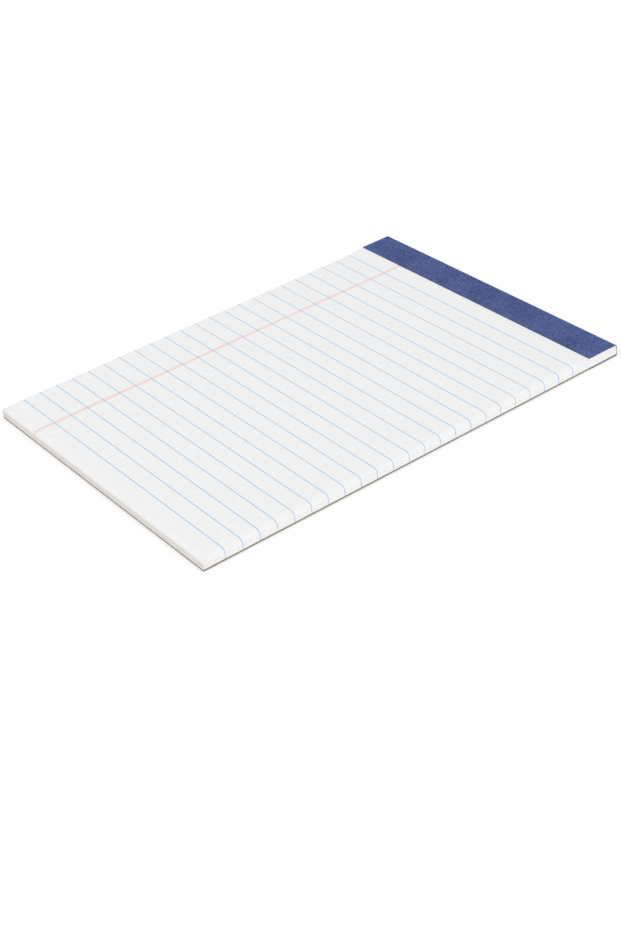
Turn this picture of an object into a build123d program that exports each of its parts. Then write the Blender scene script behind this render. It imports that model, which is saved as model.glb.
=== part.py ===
from build123d import *

import os

# A ruled writing pad, lying closed on its board, in millimetres.
# X runs across the page towards its right side, Y runs up the page towards the bound head,
# and Z is up. The origin is on the surface that the pad lies on, under the middle of the pad.

# Closed pad
pad_width = 148.0
pad_length = 210.0

# Leaves, all of one size, with their upper edges pressed down into a soft roll
leaf_count = 50
leaf_thickness = 0.086
foot_roll = 2.4
side_roll = 2.1
side_roll_at_strip = 0.3
roll_fade_length = 8.0
head_round = 1.0

# Backing board
board_thickness = 0.7
board_head_round = 0.45

# Binding strip, folded from the first leaf round the head to the underside of the board
strip_thickness = 0.2
front_strip_width = 16.0
back_strip_width = 16.0
strip_press = 0.05

# Staples of flat wire under the strip
wire_width = 0.6
wire_thickness = 0.4
wire_bend = 0.5
crown_length = 13.0
clinch_length = 4.5
staple_from_head = 8.0
staple_spacing = 74.0

# Ruling, a film of ink on the page that bleeds over its trimmed edges
rule_pitch = 7.94
rule_width = 0.3
first_rule_from_head = 25.4
least_blank_foot = 6.0
margin_from_side = 27.0
margin_line_width = 0.35
margin_line_spacing = 1.3
blue_film = 0.03
red_film = 0.05

# How far a cutting shape runs past what it cuts
overrun = 1.0

# Levels, lines and counts worked out from the sizes above
half_width = pad_width / 2
head_y = pad_length / 2
foot_y = -pad_length / 2
spine_y = head_y - strip_thickness
front_strip_y = head_y - front_strip_width
back_strip_y = head_y - back_strip_width
board_base = strip_thickness - strip_press
leaf_base = board_base + board_thickness
leaf_top = leaf_base + leaf_count * leaf_thickness
pressed_top = leaf_top - strip_press
ruled_length = pad_length - first_rule_from_head - least_blank_foot
rule_count = int(ruled_length // rule_pitch) + 1


def outline(plane, corners, rounds):
    """A closed face on the plane through the corners, each rounded by its own radius."""
    return plane * make_face(FilletPolyline(corners, radius=rounds, close=True).edges())


def across_page(y, roll, film=0, base=leaf_base):
    """The leaves cut across the page at y, both upper edges rolled, and grown outwards by a film."""
    side = half_width + film
    top = leaf_top + film
    corners = [(-side, base), (-side, top), (side, top), (side, base)]
    plane = Plane(origin=(0, y, 0), x_dir=(1, 0, 0), z_dir=(0, -1, 0))
    return outline(plane, corners, [0, roll + film, roll + film, 0])


def leaf_stack():
    """All the leaves as one block. The side rolls fade out towards the strip, which holds the edges flat."""
    low = leaf_base - overrun
    sections = [
        across_page(foot_y - overrun, side_roll, base=low),
        across_page(front_strip_y - roll_fade_length, side_roll, base=low),
        across_page(front_strip_y, side_roll_at_strip, base=low),
    ]
    under_strip = Pos(0, front_strip_y, low) * Box(
        pad_width, front_strip_width + overrun, leaf_top - low, align=(Align.CENTER, Align.MIN, Align.MIN)
    )
    corners = [
        (foot_y, leaf_base),
        (foot_y, leaf_top),
        (front_strip_y, leaf_top),
        (front_strip_y, pressed_top),
        (spine_y, pressed_top),
        (spine_y, leaf_base),
    ]
    along_page = outline(Plane.YZ, corners, [0, foot_roll, 0, 0, head_round, 0])
    rolled = loft(sections, ruled=True) + under_strip
    return rolled & extrude(along_page, amount=half_width + overrun, both=True)


def backing_board():
    """The board, pressed in under the strip and rounded where the strip folds round it."""
    corners = [
        (foot_y, board_base),
        (foot_y, leaf_base),
        (spine_y, leaf_base),
        (spine_y, strip_thickness),
        (back_strip_y, strip_thickness),
        (back_strip_y, board_base),
    ]
    section = outline(Plane.YZ, corners, [0, 0, 0, board_head_round, 0, 0])
    return extrude(section, amount=half_width, both=True)


def binding_strip():
    """One sheet folded round the head, lying on the first leaf and on the underside of the board."""
    corners = [
        (front_strip_y, pressed_top),
        (front_strip_y, pressed_top + strip_thickness),
        (head_y, pressed_top + strip_thickness),
        (head_y, 0),
        (back_strip_y, 0),
        (back_strip_y, strip_thickness),
        (spine_y, strip_thickness),
        (spine_y, pressed_top),
    ]
    outside = [0, 0, head_round + strip_thickness, board_head_round + strip_thickness]
    inside = [0, 0, board_head_round, head_round]
    return extrude(outline(Plane.YZ, corners, outside + inside), amount=half_width, both=True)


def staple():
    """A staple in the middle: its crown sunk in the first leaves, its legs clinched under the board."""
    reach = crown_length / 2
    crown_z = pressed_top - wire_thickness / 2
    clinch_z = strip_thickness + wire_thickness / 2
    y = head_y - staple_from_head
    route = [
        (clinch_length - reach, y, clinch_z),
        (-reach, y, clinch_z),
        (-reach, y, crown_z),
        (reach, y, crown_z),
        (reach, y, clinch_z),
        (reach - clinch_length, y, clinch_z),
    ]
    start = Plane(origin=route[0], x_dir=(0, 1, 0), z_dir=(-1, 0, 0))
    return sweep(start * Rectangle(wire_width, wire_thickness), path=FilletPolyline(route, radius=wire_bend))


def blue_rules():
    """Rules that each run up one side of the leaves, across the page and down the other side."""
    film = across_page(0, side_roll, blue_film) - across_page(0, side_roll)
    rule = extrude(film, amount=rule_width / 2, both=True)
    first_y = head_y - first_rule_from_head
    return [Pos(0, first_y - number * rule_pitch) * rule for number in range(rule_count)]


def red_margin(rules):
    """Two lines close together that run down the page from the strip and over its foot, across the rules."""
    corners = [
        (foot_y, leaf_base),
        (foot_y, leaf_top),
        (front_strip_y, leaf_top),
        (front_strip_y, leaf_top + red_film),
        (foot_y - red_film, leaf_top + red_film),
        (foot_y - red_film, leaf_base),
    ]
    film = outline(Plane.YZ, corners, [0, foot_roll, 0, 0, foot_roll + red_film, 0])
    line = extrude(film, amount=margin_line_width / 2, both=True)
    middle = margin_from_side - half_width
    return [Pos(middle + side * margin_line_spacing / 2) * line - rules for side in (-1, 1)]


staples = {
    "staple_left": Pos(-staple_spacing / 2) * staple(),
    "staple_right": Pos(staple_spacing / 2) * staple(),
}
wires = list(staples.values())
rules = blue_rules()

pieces = {
    "sheet_block": leaf_stack() - wires,
    "backing_board": backing_board() - wires,
    "binding_strip": binding_strip(),
    "blue_rules": Compound([rule.solid() for rule in rules]),
    "red_margin": Compound([line.solid() for line in red_margin(rules)]),
    **staples,
}

os.makedirs("parts", exist_ok=True)
for name, piece in pieces.items():
    export_step(piece, f"parts/{name}.step")
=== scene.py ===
import math
import random

import bmesh
import bpy
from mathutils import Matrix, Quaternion, Vector, noise


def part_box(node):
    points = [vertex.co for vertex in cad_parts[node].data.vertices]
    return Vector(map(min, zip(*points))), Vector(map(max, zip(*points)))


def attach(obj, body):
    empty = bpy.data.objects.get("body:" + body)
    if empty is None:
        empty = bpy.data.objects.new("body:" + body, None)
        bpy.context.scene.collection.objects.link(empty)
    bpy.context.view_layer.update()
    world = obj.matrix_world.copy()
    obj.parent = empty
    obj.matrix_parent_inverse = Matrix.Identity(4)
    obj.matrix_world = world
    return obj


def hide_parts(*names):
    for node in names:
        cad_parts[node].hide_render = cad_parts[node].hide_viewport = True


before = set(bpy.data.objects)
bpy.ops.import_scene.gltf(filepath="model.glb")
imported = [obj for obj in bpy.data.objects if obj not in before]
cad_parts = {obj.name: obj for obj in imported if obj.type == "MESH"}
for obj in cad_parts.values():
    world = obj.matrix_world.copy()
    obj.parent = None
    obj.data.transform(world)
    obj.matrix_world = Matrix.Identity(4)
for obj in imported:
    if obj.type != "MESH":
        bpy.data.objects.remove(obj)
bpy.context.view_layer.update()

# A ruled writing pad, lying closed on its board. X runs across the page, Y runs up the page to
# the bound head, and Z is up. Lengths are in metres.

MM = 0.001

# Less than any real size, for places that should be the same
HAIR = 1e-7

# Places read from the frame
leaves_low, leaves_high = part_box("sheet_block")
board_low, board_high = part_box("backing_board")
strip_low, strip_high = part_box("binding_strip")
rules_low, rules_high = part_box("blue_rules")
margin_low, margin_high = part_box("red_margin")
half_width = leaves_high.x
foot_y = leaves_low.y
spine_y = leaves_high.y
head_y = strip_high.y
strip_edge_y = strip_low.y
leaf_base = leaves_low.z
leaf_top = leaves_high.z
strip_top = strip_high.z
strip_thickness = head_y - spine_y
pressed_top = strip_top - strip_thickness

# Leaves, each of which shows its edge between two fine gaps
leaf_count = 50
leaf_pitch = (leaf_top - leaf_base) / leaf_count
leaf_corner = 0.1 * leaf_pitch
leaf_gap_depth = 0.022 * MM
station_spacing = 7.5 * MM

# Their trim: how far it strays, its mean depth as a share of that, the drift that neighbours have
# in common, and what each leaf has of its own. The left and right sides draw it as -1 and 1.
trim_unevenness = 0.02 * MM
trim_depth = 0.5
shared_trim = 0.3
own_trim = 0.35
foot_side = 3
head_side = 4

# The rolls of the leaves' upper edges, as wide as in the solid
foot_roll = 2.4 * MM
side_roll = 2.1 * MM
side_roll_at_strip = 0.3 * MM
roll_fade_length = 8 * MM
head_round = 1.0 * MM
roll_lines = 8
flat_ring = 2.0 * MM
strip_dip_length = 0.7 * MM

# How far the first leaf turns down at its edges. At the foot and the sides its edge falls by half
# the roll's width. The arc ratio is the arc's radius over that width, and the reach is how much of
# the radius the arc spans across the page.
edge_turn = math.radians(50)
head_turn = math.radians(60)
edge_arc_ratio = 0.5 / (1 - math.cos(edge_turn))
edge_reach = math.sin(edge_turn)
foot_arc = edge_arc_ratio * foot_roll

# How far the first leaf's cut edge leans in under it, and how soon the leaves below lie flat
edge_tilt = math.radians(28)
bend_falloff = 1.6

# A point this share of a leaf below the line between two leaves still counts with the upper one
leaf_slack = 0.02

# How sharply two rolls run into each other at a corner
corner_power = 3

# Ruling: a film of ink on the page, and ink marks on the leaves' edges, each shifted a little
rule_count = 23
rule_width = 0.3 * MM
rule_pitch = (rules_high.y - rules_low.y - rule_width) / (rule_count - 1)
first_rule_y = rules_high.y - rule_width / 2
margin_line_width = 0.35 * MM
margin_line_spacing = 0.9 * MM
margin_x = (margin_low.x + margin_high.x) / 2
ink_film = 0.012 * MM
mark_shift = 0.07 * MM
margin_seed = 10

# Staples, which show as a faint relief of the strip, and the line of slits that each leaf tears along
wire_low, wire_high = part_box("staple_right")
wire_width = wire_high.y - wire_low.y
staple_y = (wire_low.y + wire_high.y) / 2
staple_x = (wire_low.x + wire_high.x) / 2
crown_length = wire_high.x - wire_low.x
tear_line_y = strip_edge_y - 1.6 * MM
slit_pitch = 0.9 * MM
slit_length = 0.55 * MM
slit_width = 0.08 * MM
slit_depth = 0.024 * MM
slit_shade = 0.25
staple_relief = 0.04 * MM
page_relief = 0.006 * MM

# Strip and board
board_head_round = 0.45 * MM
fold_steps = 8
quarter_turn = math.pi / 2
paper_edge_bevel = 0.03 * MM
board_edge_bevel = 0.06 * MM
board_bevel_angle = math.radians(50)
board_step_length = 0.1 * MM
board_station_spacing = 3 * MM
board_ply = 0.23 * MM

# How ragged the board's cut edges are, and how often they change a metre, along and across the plies
board_roughness = 0.04 * MM
ragged_along = 900
ragged_across = 5000

# The head fold is told by the sum of Y and Z: one radius past its middle where the fold starts, and
# highest at its crown. The fold has painted shade from a little way round it.
fold_radius = head_round + strip_thickness
fold_middle = head_y + strip_top - 2 * fold_radius
fold_shade_start = fold_middle + 1.15 * fold_radius
fold_crown = fold_middle + math.sqrt(2) * fold_radius
fold_shade = 0.6

# How deep the painted shade on the trim at the foot reaches, and how softly it ends
foot_shade_depth = 0.25 * MM
foot_shade_fade = 0.1 * MM

# The floor lies a hair under the pad. Out to its shadow reach it is lifted only a part of the way to
# white, which keeps the pad's shadow.
floor_size = 8
floor_drop = 0.01 * MM
floor_shadow_reach = 0.3
near_floor_lift = 0.26

# The strength of the white room's light. The camera sees the room at full white.
room_light = 0.86


# Shaping

smooth_angle = math.radians(30)

# A direction counts as facing along an axis when more than this much of it does
facing = 0.7


def start_piece(name):
    """Names the primitive just added, puts its place in its mesh and opens it for shaping."""
    piece = bpy.context.object
    piece.name = name
    piece.data.name = name
    bpy.ops.object.transform_apply(location=True, rotation=True, scale=True)
    bpy.ops.object.mode_set(mode="EDIT")
    return piece


def start_sheet(name, low_x, low_y, high_x, high_y, z):
    """A level sheet of one face, open for shaping."""
    bpy.ops.object.select_all(action="DESELECT")
    bpy.ops.mesh.primitive_plane_add(size=1, location=((low_x + high_x) / 2, (low_y + high_y) / 2, z))
    bpy.context.object.scale = (high_x - low_x, high_y - low_y, 1)
    return start_piece(name)


def start_block(name, low, high):
    """A block from its lowest to its highest corner, open for shaping."""
    low, high = Vector(low), Vector(high)
    bpy.ops.object.select_all(action="DESELECT")
    bpy.ops.mesh.primitive_cube_add(size=1, location=(low + high) / 2)
    bpy.context.object.scale = high - low
    return start_piece(name)


def finish_piece(piece):
    """Closes a piece after shaping, with its faces outwards and its soft edges smooth."""
    bpy.ops.mesh.select_all(action="SELECT")
    bpy.ops.mesh.remove_doubles(threshold=HAIR)
    bpy.ops.mesh.normals_make_consistent(inside=False)
    bpy.ops.object.mode_set(mode="OBJECT")
    bpy.ops.object.shade_smooth_by_angle(angle=smooth_angle)
    return piece


def cut(place, across):
    """Cuts the whole open piece along a plane."""
    bpy.ops.mesh.select_all(action="SELECT")
    bpy.ops.mesh.bisect(plane_co=place, plane_no=across, threshold=HAIR)


def cut_lines(xs=(), ys=(), zs=()):
    """Cuts the open piece at each of the given places along X, Y and Z."""
    for x in xs:
        cut((x, 0, 0), (1, 0, 0))
    for y in ys:
        cut((0, y, 0), (0, 1, 0))
    for z in zs:
        cut((0, 0, z), (0, 0, 1))


def select_faces(piece, wanted):
    """Selects the faces of the open piece that wanted accepts by middle and normal."""
    bpy.ops.mesh.select_mode(type="FACE")
    mesh = bmesh.from_edit_mesh(piece.data)
    for face in mesh.faces:
        face.select_set(wanted(face.calc_center_median(), face.normal))
    mesh.select_flush_mode()
    bmesh.update_edit_mesh(piece.data)


def select_edges(piece, wanted):
    """Selects the edges of the open piece that wanted accepts by middle and direction."""
    bpy.ops.mesh.select_mode(type="EDGE")
    mesh = bmesh.from_edit_mesh(piece.data)
    for edge in mesh.edges:
        first, second = (corner.co for corner in edge.verts)
        edge.select_set(wanted((first + second) / 2, (second - first).normalized()))
    mesh.select_flush_mode()
    bmesh.update_edit_mesh(piece.data)


def evenly(low, high, spacing):
    """Places between low and high, not the ends, about a spacing apart."""
    steps = max(1, round((high - low) / spacing))
    return [low + (high - low) * step / steps for step in range(1, steps)]


def mirrored(places):
    """Places on both sides of the middle of the page."""
    return [side * place for side in (-1, 1) for place in places]


def apply_modifier(piece, kind, **settings):
    """Adds a modifier to a piece and applies it."""
    bpy.ops.object.select_all(action="DESELECT")
    bpy.context.view_layer.objects.active = piece
    piece.select_set(True)
    modifier = piece.modifiers.new(kind.lower(), kind)
    for name, value in settings.items():
        setattr(modifier, name, value)
    bpy.ops.object.modifier_apply(modifier=modifier.name)


def repeat(piece, count, step):
    """Copies a piece in a row, each copy a step from the one before."""
    apply_modifier(
        piece, "ARRAY", count=count,
        use_relative_offset=False, use_constant_offset=True, constant_offset_displace=step,
    )


def join(first, *others):
    """Makes one piece of several."""
    bpy.ops.object.select_all(action="DESELECT")
    for piece in (first, *others):
        piece.select_set(True)
    bpy.context.view_layer.objects.active = first
    bpy.ops.object.join()
    return first


# Laying flat work into the shape of the pressed pad

def between(value, low, high):
    """How far a value is from low to high, held within 0 and 1."""
    return min(1, max(0, (value - low) / (high - low)))


def trim_offset(side, along, leaf):
    """How far the trimmed edge of a leaf stands back at a place along a side."""
    # The factors keep sides and leaves apart, and give the changes a metre along a side
    shared = noise.noise(Vector((side * 17.3, leaf * 0.37, along * 9)))
    own = noise.noise(Vector((side * 5.1, leaf * 3.7, along * 22)))
    return trim_unevenness * (trim_depth + shared_trim * shared + own_trim * own)


def roll(inward, radius, turn, reach, bend, uneven):
    """Where a point that lay inward of a trimmed edge goes: its new distance inward, and its drop.

    The reach is the share of the radius from the edge to where the roll starts.
    """
    share = inward / foot_roll
    if share > 1 + HAIR:
        return inward, 0
    angle = turn * (1 - share)
    rolled = (1 - bend) * inward + bend * radius * (reach - math.sin(angle))
    return rolled + uneven * (1 - share), radius * (1 - math.cos(angle))


def press(piece):
    """Rolls the edges of flat work down, and presses it in under the strip."""
    for vertex in piece.data.vertices:
        x, y, z = vertex.co
        height = between(z, leaf_base, leaf_top)
        leaf = min(leaf_count - 1, math.floor(height * leaf_count + leaf_slack))
        bend = height ** bend_falloff
        undercut = (leaf + 1 - height * leaf_count) * leaf_pitch * math.tan(bend * edge_tilt)
        side = 1 if x > 0 else -1
        at_strip = between(y, strip_edge_y - roll_fade_length, strip_edge_y)
        radius = edge_arc_ratio * (side_roll + (side_roll_at_strip - side_roll) * at_strip)
        uneven = undercut + trim_offset(side, y, leaf)
        from_side, side_drop = roll(half_width - abs(x), radius, edge_turn, edge_reach, bend, uneven)
        if y < 0:
            uneven = undercut + trim_offset(foot_side, x, leaf)
            from_end, end_drop = roll(y - foot_y, foot_arc, edge_turn, edge_reach, bend, uneven)
            y = foot_y + from_end
        else:
            uneven = trim_offset(head_side, x, leaf)
            from_end, end_drop = roll(spine_y - y, head_round, head_turn, 1, bend, uneven)
            y = spine_y - from_end
        drop = (side_drop ** corner_power + end_drop ** corner_power) ** (1 / corner_power)
        dip = (leaf_top - pressed_top) * between(y, strip_edge_y - strip_dip_length, strip_edge_y)
        vertex.co = (side * (half_width - from_side), y, z - bend * (drop + dip))


# The places, inward of a trimmed edge, of the lines along which the paper bends
bend_places = [foot_roll * line / roll_lines for line in range(1, roll_lines + 1)]
flat_place = foot_roll + flat_ring
dip_places = [strip_edge_y - strip_dip_length, strip_edge_y - strip_dip_length / 2, strip_edge_y]


def raise_edge(height, wider):
    """Draws the top of the leaves up, and makes it wider where wider is 1 and narrower where it is -1."""
    bpy.ops.mesh.extrude_region_move(TRANSFORM_OT_translate={"value": (0, 0, height)})
    if wider:
        ratio_x = half_width / (half_width - leaf_gap_depth)
        ratio_y = (spine_y - foot_y) / (spine_y - foot_y - 2 * leaf_gap_depth)
        if wider < 0:
            ratio_x, ratio_y = 1 / ratio_x, 1 / ratio_y
        middle = (0, (foot_y + spine_y) / 2, 0)
        bpy.ops.transform.resize(value=(ratio_x, ratio_y, 1), center_override=middle)


def leaves():
    """All the leaves as one closed skin, with the edge of each leaf standing between two fine gaps."""
    piece = start_sheet("leaves", -half_width, foot_y, half_width, spine_y, leaf_base)
    rows = evenly(foot_y, dip_places[0], station_spacing) + dip_places
    rows += evenly(strip_edge_y, spine_y, station_spacing)
    cut_lines(xs=evenly(-half_width, half_width, station_spacing), ys=rows)
    bpy.ops.mesh.select_all(action="SELECT")
    raise_edge(leaf_corner, 0)
    raise_edge(leaf_pitch - 2 * leaf_corner, 0)
    for _ in range(1, leaf_count):
        raise_edge(leaf_corner, -1)
        raise_edge(leaf_corner, 1)
        raise_edge(leaf_pitch - 2 * leaf_corner, 0)
    raise_edge(leaf_corner, 0)
    for _ in bend_places:
        bpy.ops.mesh.inset(thickness=foot_roll / roll_lines, use_boundary=True, use_even_offset=True)
    bpy.ops.mesh.inset(thickness=flat_ring, use_boundary=True, use_even_offset=True)
    finish_piece(piece)
    # The page and the underside wear the first finish, and the trimmed edges the second
    for face in piece.data.polygons:
        face.material_index = int(leaf_base + HAIR < face.center.z < leaf_top - HAIR)
    press(piece)
    return piece


def ink_marks(name, low, high):
    """A column of ink marks, one on the edge of each leaf."""
    piece = start_block(name, low, high)
    finish_piece(piece)
    repeat(piece, leaf_count, (0, 0, leaf_pitch))
    return piece


def tell_marks_from_film(piece):
    """Keeps the ink on the leaves' edges apart from the ink on the page, for its own finish."""
    for face in piece.data.polygons:
        face.material_index = int(face.center.z < leaf_top - 2 * ink_film)


def shift_marks(piece, axis, seed):
    """Moves each ink mark a little along its edge, as leaves never lie quite square."""
    draw = random.Random(seed)
    corners = 8
    shift = 0
    for number, vertex in enumerate(piece.data.vertices):
        if number % corners == 0:
            shift = draw.uniform(-mark_shift, mark_shift)
        vertex.co[axis] += shift


def ruled_lines():
    """The blue rules: a film of ink on the page, and a mark on each leaf's edge at both its ends."""
    half_rule = rule_width / 2
    film = start_block(
        "ruled_lines",
        (-half_width, first_rule_y - half_rule, leaf_top - ink_film),
        (half_width, first_rule_y + half_rule, leaf_top + ink_film),
    )
    cut_lines(xs=mirrored([half_width - place for place in bend_places + [flat_place]]))
    finish_piece(film)
    mark_base = leaf_base + leaf_corner
    mark_top = leaf_base + leaf_pitch - leaf_corner
    columns = []
    for side in (-1, 1):
        ends = sorted((side * (half_width - ink_film), side * (half_width + ink_film)))
        columns.append(
            ink_marks(
                "rule_marks",
                (ends[0], first_rule_y - half_rule, mark_base),
                (ends[1], first_rule_y + half_rule, mark_top),
            )
        )
    for number, piece in enumerate((film, *columns)):
        repeat(piece, rule_count, (0, -rule_pitch, 0))
        if piece is not film:
            shift_marks(piece, 1, number)
    join(film, *columns)
    tell_marks_from_film(film)
    press(film)
    return film


def margin_lines():
    """The red margin: two lines down the page from the strip, and their marks on the foot."""
    parts = []
    for side in (-1, 1):
        middle = margin_x + side * margin_line_spacing / 2
        low_x = middle - margin_line_width / 2
        high_x = middle + margin_line_width / 2
        film = start_block(
            "margin_lines",
            (low_x, foot_y, leaf_top - ink_film),
            (high_x, strip_edge_y, leaf_top + 2 * ink_film),
        )
        cut_lines(ys=[foot_y + place for place in bend_places + [flat_place]] + dip_places[:2])
        finish_piece(film)
        marks = ink_marks(
            "margin_marks",
            (low_x, foot_y - ink_film, leaf_base + leaf_corner),
            (high_x, foot_y + ink_film, leaf_base + leaf_pitch - leaf_corner),
        )
        shift_marks(marks, 0, margin_seed + side)
        parts += [film, marks]
    join(*parts)
    tell_marks_from_film(parts[0])
    press(parts[0])
    return parts[0]


def folded_strip():
    """One strip of paper: front flap, fold over the head, spine, fold under the board, back flap."""
    fold_y = spine_y - head_round
    fold_z = pressed_top - head_round
    under_y = spine_y - board_head_round
    under_z = strip_low.z + strip_thickness + board_head_round
    piece = start_block(
        "folded_strip",
        (-half_width, strip_edge_y, pressed_top),
        (half_width, fold_y, strip_top),
    )
    select_faces(piece, lambda middle, normal: normal.y > facing)
    bpy.ops.mesh.spin(steps=fold_steps, angle=quarter_turn, center=(0, fold_y, fold_z), axis=(1, 0, 0))
    bpy.ops.mesh.extrude_region_move(TRANSFORM_OT_translate={"value": (0, 0, under_z - fold_z)})
    bpy.ops.mesh.spin(steps=fold_steps, angle=quarter_turn, center=(0, under_y, under_z), axis=(1, 0, 0))
    bpy.ops.mesh.extrude_region_move(TRANSFORM_OT_translate={"value": (0, strip_edge_y - under_y, 0)})
    finish_piece(piece)
    apply_modifier(piece, "BEVEL", width=paper_edge_bevel, segments=2, limit_method="ANGLE")
    # The cut edges at both sides and at the ends of the flaps wear the second finish
    for face in piece.data.polygons:
        at_flap_end = face.center.y < strip_edge_y + paper_edge_bevel and face.normal.y < -facing
        face.material_index = int(abs(face.normal.x) > facing or at_flap_end)
    return piece


def chipboard_back():
    """The board, pressed in under the strip, rounded at the head and roughly cut."""
    piece = start_block("chipboard_back", board_low, board_high)
    half_z = (board_low.z + board_high.z) / 2
    select_edges(piece, lambda middle, way: abs(way.x) > facing and middle.y > 0 and middle.z < half_z)
    bpy.ops.mesh.bevel(offset=board_head_round, segments=fold_steps, affect="EDGES")
    step_lines = [strip_edge_y - board_step_length, strip_edge_y]
    cut_lines(
        xs=evenly(board_low.x, board_high.x, board_station_spacing),
        ys=evenly(board_low.y, step_lines[0], board_station_spacing) + step_lines,
        zs=evenly(board_low.z, board_high.z, board_ply),
    )
    finish_piece(piece)
    step = strip_low.z + strip_thickness - board_low.z
    for corner in piece.data.vertices:
        x, y, z = corner.co
        chipping = noise.noise(Vector((x * ragged_along, y * ragged_along, z * ragged_across)))
        ragged = board_roughness * max(0, 0.5 + chipping)
        if abs(x) > board_high.x - HAIR:
            corner.co.x -= math.copysign(ragged, x)
        if y < board_low.y + HAIR:
            corner.co.y += ragged
        if y > strip_edge_y - HAIR and z < board_low.z + step:
            corner.co.z = board_low.z + step
    apply_modifier(
        piece, "BEVEL", width=board_edge_bevel, segments=2,
        limit_method="ANGLE", angle_limit=board_bevel_angle,
    )
    return piece


# Nodes, and the finishes made of them

def paint(red, green, blue):
    """A colour in the usual 0 to 255, as the linear colour that a shader takes."""
    def linear(level):
        level = level / 255
        return level / 12.92 if level <= 0.04045 else ((level + 0.055) / 1.055) ** 2.4
    return (linear(red), linear(green), linear(blue), 1)


class Level:
    """What a socket gives, which may vary over a surface. Sums with it add their Math nodes."""

    def __init__(self, nodes, socket):
        self.nodes = nodes
        self.socket = socket

    def __add__(self, other):
        return self.nodes.maths("ADD", self, other)

    def __sub__(self, other):
        return self.nodes.maths("SUBTRACT", self, other)

    def __rsub__(self, other):
        return self.nodes.maths("SUBTRACT", other, self)

    def __mul__(self, other):
        return self.nodes.maths("MULTIPLY", self, other)

    __radd__ = __add__
    __rmul__ = __mul__


class Nodes:
    """The nodes that feed the shader of a material or of the world."""

    def __init__(self, tree, shader, **constants):
        self.tree = tree
        self.shader = tree.nodes[shader]
        for socket, value in constants.items():
            self.shader.inputs[socket.replace("_", " ")].default_value = value

    def node(self, kind, settings={}, inputs={}, output=0):
        """Adds a node: its settings first, then the values or links of its sockets."""
        made = self.tree.nodes.new("ShaderNode" + kind)
        for setting, value in settings.items():
            setattr(made, setting, value)
        for name, value in inputs.items():
            if isinstance(value, Level):
                self.tree.links.new(value.socket, made.inputs[name])
            else:
                made.inputs[name].default_value = value
        return Level(self, made.outputs[output])

    def maths(self, operation, *values):
        """What one Math node makes of the values."""
        return self.node("Math", {"operation": operation}, dict(enumerate(values)))

    def wear(self, socket, value):
        """Links a value to a socket of the shader."""
        self.tree.links.new(value.socket, self.shader.inputs[socket])


class Finish(Nodes):
    """A material whose patterns read the piece's own coordinates, in metres."""

    def __init__(self, name, **constants):
        self.material = bpy.data.materials.new(name)
        self.material.use_nodes = True
        super().__init__(self.material.node_tree, "Principled BSDF", **constants)
        self.place = self.node("TexCoord", output="Object")

    def grain(self, stretch, detail=2.0, roughness=0.5, offset=0.0):
        """Noise with so many features a metre along X, Y and Z."""
        scaled = {0: self.place, 1: stretch, 2: (offset, offset, offset)}
        stretched = self.node("VectorMath", {"operation": "MULTIPLY_ADD"}, scaled)
        pattern = {"Vector": stretched, "Scale": 1.0, "Detail": detail, "Roughness": roughness}
        return self.node("TexNoise", {}, pattern)

    def coordinate(self, axis):
        """One of the piece's coordinates, in metres."""
        return self.node("SeparateXYZ", {}, {0: self.place}, output=axis)

    def ramp(self, level, low, high):
        """0 where the level is at or under low, 1 where it is at or over high."""
        return self.node("MapRange", {}, {"Value": level, "From Min": low, "From Max": high})

    def size_of(self, level):
        """A level without its sign."""
        return self.maths("ABSOLUTE", level)

    def near(self, level, middle, reach, fade):
        """1 within a reach of the middle, and 0 past the fade beyond it."""
        return self.ramp(self.size_of(level - middle), reach + fade, reach)

    def blend(self, share, first, second):
        """The first colour where the share is 0, the second where it is 1."""
        return self.node("Mix", {"data_type": "RGBA"}, {0: share, 6: first, 7: second}, output=2)

    def bump(self, height, depth):
        """Raises the surface by the height, where 1 is a depth in metres."""
        raised = self.node("Bump", {}, {"Strength": 1.0, "Distance": depth, "Height": height})
        self.wear("Normal", raised)


def page_fibre(finish):
    """The fine crossed fibres of the page, which its inks follow."""
    return finish.grain((900, 5200, 3000)) + finish.grain((5200, 900, 3000), offset=40.0)


def paper_finish():
    """White writing paper: soft cloudy formation, fine crossed fibres, and the slits to tear along."""
    finish = Finish("page_paper", Roughness=0.7, Specular_IOR_Level=0.3)
    cloud = finish.grain((350, 350, 350), detail=3)
    fibre = page_fibre(finish)
    speck = finish.grain((9000, 9000, 9000), detail=1)
    tone = cloud * 0.2 + fibre * 0.25 + speck * 0.3
    colour = finish.blend(finish.ramp(tone, 0.38, 0.62), paint(235, 235, 236), paint(245, 245, 246))
    on_line = finish.near(finish.coordinate("Y"), tear_line_y, slit_width / 2, slit_width / 2)
    from_slit = finish.maths("PINGPONG", finish.coordinate("X"), slit_pitch / 2)
    slit = on_line * finish.near(from_slit, 0, slit_length / 2, slit_width / 2)
    # The slits are painted grey by the slit shade share, as painted shade in the cuts
    finish.wear("Base Color", finish.blend(slit * slit_shade, colour, paint(150, 150, 150)))
    finish.bump(fibre * 0.5 + speck * 0.4 - slit * (slit_depth / page_relief), page_relief)
    return finish.material


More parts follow.
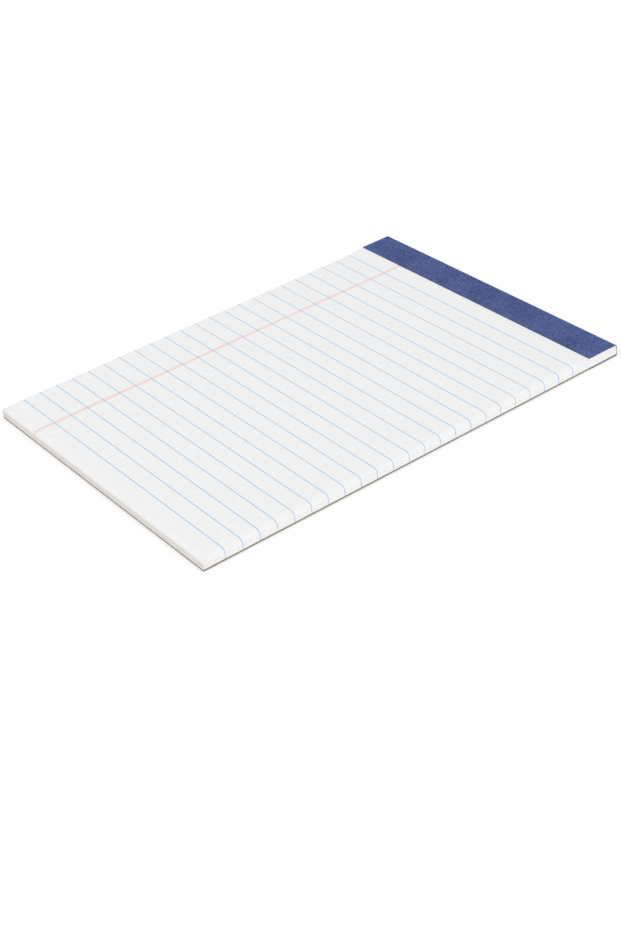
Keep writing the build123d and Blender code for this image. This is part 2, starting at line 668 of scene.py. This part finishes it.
def trimmed_edge_finish():
    """The cut edges of the leaves: painted light at the sides, painted shade at the foot, each leaf in
    its own tone.
    """
    finish = Finish("trimmed_edges", Roughness=0.8, Specular_IOR_Level=0.2)
    leaf_tone = finish.grain((60, 60, 12000), detail=1)
    knife = finish.grain((2600, 2600, 60), detail=2)
    speck = finish.grain((7000, 7000, 7000), detail=2)
    tone = finish.ramp(leaf_tone * 0.5 + knife * 0.25 + speck * 0.25, 0.36, 0.62)
    # Painted light and shade: the trim is painted whiter at the sides, where light falls, and greyer at
    # the foot, where it is shaded
    lit_side_edges = finish.blend(tone, paint(248, 246, 247), paint(254, 254, 254))
    shaded_foot_edges = finish.blend(tone, paint(226, 222, 219), paint(243, 240, 237))
    foot = finish.near(finish.coordinate("Y"), foot_y, foot_shade_depth, foot_shade_fade)
    finish.wear("Base Color", finish.blend(foot, lit_side_edges, shaded_foot_edges))
    finish.bump(knife * 0.6 + speck * 0.5, 0.008 * MM)
    return finish.material


def strip_finish():
    """Dark blue binding paper, mottled and fibrous, with painted shade along its fold, and raised over
    the staples.
    """
    finish = Finish("binding_paper", Roughness=0.68, Specular_IOR_Level=0.12)
    cloud = finish.grain((75, 75, 75), detail=1)
    mottle = finish.grain((1200, 1200, 1200), detail=2)
    fibre = finish.grain((1500, 6500, 4000), detail=2) + finish.grain((6500, 1500, 4000), offset=31.0)
    fleck = finish.grain((3600, 3600, 3600), detail=2, roughness=0.6)
    tone = cloud * 0.09 + mottle * 0.3 + fibre * 0.1 + fleck * 0.4
    colour = finish.blend(finish.ramp(tone, 0.38, 0.61), paint(22, 40, 89), paint(99, 116, 173))
    # Painted shade: the fold is darkened towards its crown, where it turns away from the light
    fold = finish.ramp(finish.coordinate("Y") + finish.coordinate("Z"), fold_shade_start, fold_crown)
    finish.wear("Base Color", finish.blend(fold * fold_shade, colour, paint(32, 38, 62)))
    along = finish.near(finish.size_of(finish.coordinate("X")), staple_x, crown_length / 2, wire_width)
    across = finish.near(finish.coordinate("Y"), staple_y, wire_width / 3, wire_width)
    finish.bump(fibre * 0.2 + fleck * 0.3 + along * across, staple_relief)
    return finish.material


def strip_core_finish():
    """The cut edge of the binding paper, dyed right through but greyer than its face."""
    finish = Finish("binding_paper_core", Roughness=0.8, Specular_IOR_Level=0.1)
    fibre = finish.grain((5000, 5000, 9000), detail=2)
    colour = finish.blend(finish.ramp(fibre, 0.35, 0.65), paint(54, 59, 84), paint(80, 86, 112))
    finish.wear("Base Color", colour)
    finish.bump(fibre, 0.02 * MM)
    return finish.material


def chipboard_finish():
    """Grey-brown chipboard, felted of light and dark fibres."""
    finish = Finish("chipboard", Roughness=0.85, Specular_IOR_Level=0.15)
    cloud = finish.grain((260, 260, 1200), detail=4, roughness=0.6)
    fibre = finish.grain((900, 5200, 12000), detail=3)
    fibre += finish.grain((5200, 900, 12000), detail=3, offset=17.0)
    tone = cloud * 0.2 + fibre * 0.4
    colour = finish.blend(finish.ramp(tone, 0.36, 0.64), paint(128, 118, 104), paint(170, 160, 145))
    dark = finish.ramp(finish.grain((1900, 5200, 9000), detail=2), 0.66, 0.74)
    light = finish.ramp(finish.grain((5600, 2100, 9000), detail=2, offset=55.0), 0.66, 0.76)
    colour = finish.blend(dark * 0.55, colour, paint(84, 75, 66))
    colour = finish.blend(light * 0.6, colour, paint(202, 196, 184))
    finish.wear("Base Color", colour)
    finish.bump(fibre * 0.5 + cloud * 0.3, 0.03 * MM)
    return finish.material


def on_rules(finish):
    """1 on each rule, and 0 between the rules and past the last ones."""
    down_page = first_rule_y - finish.coordinate("Y")
    down_page = finish.maths("MAXIMUM", down_page, -rule_pitch / 2)
    down_page = finish.maths("MINIMUM", down_page, (rule_count - 0.5) * rule_pitch)
    from_rule = finish.maths("PINGPONG", down_page, rule_pitch / 2)
    return finish.near(from_rule, 0, rule_width / 2, rule_width / 4)


def ink_finish(name, dense, thin, over_rules=0):
    """A printing ink, uneven in its cover, that darkens by a share where it crosses a rule."""
    finish = Finish(name, Roughness=0.6, Specular_IOR_Level=0.3)
    cover = finish.grain((900, 900, 900), detail=3, roughness=0.6)
    colour = finish.blend(finish.ramp(cover, 0.35, 0.7), paint(*dense), paint(*thin))
    if over_rules:
        colour = finish.blend(on_rules(finish) * over_rules, colour, paint(140, 120, 150))
    finish.wear("Base Color", colour)
    finish.bump(page_fibre(finish) * 0.5, page_relief)
    return finish.material


def wire_finish():
    """Bright drawn staple wire with fine lines along it."""
    finish = Finish("staple_wire", Metallic=1.0)
    lines = finish.grain((300, 9000, 9000), detail=2)
    finish.wear("Base Color", finish.blend(lines, paint(150, 152, 156), paint(205, 206, 208)))
    finish.wear("Roughness", lines * 0.25 + 0.25)
    finish.bump(lines, 0.004 * MM)
    return finish.material


# The floor, the light and the camera

def white_floor():
    """A pale floor that the camera sees as white paper, with the pad's soft shadow on it."""
    bpy.ops.object.select_all(action="DESELECT")
    bpy.ops.mesh.primitive_plane_add(size=floor_size, location=(0, 0, -floor_drop))
    floor = bpy.context.object
    floor.name = "floor"
    finish = Finish(
        "floor_paper", Base_Color=paint(230, 230, 230), Roughness=0.9,
        Specular_IOR_Level=0.0, Emission_Strength=1.0,
    )
    seen = finish.node("LightPath", output="Is Camera Ray")
    distance = finish.node("VectorMath", {"operation": "LENGTH"}, {0: finish.place}, output="Value")
    far = finish.ramp(distance, floor_shadow_reach, 2 * floor_shadow_reach)
    lift = seen * (far * (1 - near_floor_lift) + near_floor_lift)
    finish.wear("Emission Color", finish.blend(lift, (0, 0, 0, 1), (1, 1, 1, 1)))
    floor.data.materials.append(finish.material)


def soft_lamp(name, place, size, watts):
    """A square lamp that faces the pad."""
    light = bpy.data.lights.new(name, "AREA")
    light.shape = "SQUARE"
    light.size = size
    light.energy = watts
    lamp = bpy.data.objects.new(name, light)
    lamp.location = place
    lamp.rotation_mode = "QUATERNION"
    lamp.rotation_quaternion = (-Vector(place)).to_track_quat("-Z", "Y")
    bpy.context.scene.collection.objects.link(lamp)


def studio_light():
    """An even white room, with a small low lamp on the right and a large one above the foot."""
    world = bpy.data.worlds.new("white_room")
    bpy.context.scene.world = world
    world.use_nodes = True
    room = Nodes(world.node_tree, "Background", Color=(1, 1, 1, 1))
    seen = room.node("LightPath", output="Is Camera Ray")
    room.wear("Strength", room.node("MapRange", {}, {"Value": seen, "To Min": room_light}))
    soft_lamp("right_lamp", (1.6, 0.2, 0.4), 0.7, 4.1)
    soft_lamp("foot_lamp", (-0.2, -1.17, 1.42), 1.4, 5.7)


def camera():
    """Looks down on the page from its lower right, turned a little as in the photograph."""
    place = Vector((0.52217, -0.35529, 0.38113))
    aim = Vector((0.05361, -0.03996, 0.00515))
    turn = math.radians(-6.47)
    data = bpy.data.cameras.new("camera")
    data.lens = 68.373
    data.sensor_width = 36
    data.clip_start = 0.01
    view = bpy.data.objects.new("camera", data)
    view.location = place
    view.rotation_mode = "QUATERNION"
    view.rotation_quaternion = (aim - place).to_track_quat("-Z", "Y") @ Quaternion((0, 0, 1), turn)
    bpy.context.scene.collection.objects.link(view)
    bpy.context.scene.camera = view


def dress(piece, slot, nodes, *materials):
    """Gives a piece its finishes, and lets it stand for the CAD nodes that it covers."""
    for material in materials:
        piece.data.materials.append(material)
    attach(piece, "root")
    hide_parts(*nodes)


camera()
white_floor()
studio_light()

dress(leaves(), "page_paper", ["sheet_block"], paper_finish(), trimmed_edge_finish())
dress(
    ruled_lines(), "blue_ink", ["blue_rules"],
    ink_finish("blue_ink", (120, 183, 226), (150, 198, 231)),
    ink_finish("blue_ink_on_edges", (154, 194, 231), (190, 213, 238)),
)
dress(
    margin_lines(), "red_ink", ["red_margin"],
    ink_finish("red_ink", (240, 183, 178), (242, 199, 195), over_rules=0.55),
    ink_finish("red_ink_on_edges", (242, 202, 198), (243, 216, 212)),
)
dress(folded_strip(), "binding_paper", ["binding_strip"], strip_finish(), strip_core_finish())
dress(chipboard_back(), "chipboard", ["backing_board"], chipboard_finish())

wire = wire_finish()
for name in ("staple_left", "staple_right"):
    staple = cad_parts[name]
    for slot in staple.material_slots:
        slot.material = wire

bpy.context.scene.view_settings.view_transform = "Standard"
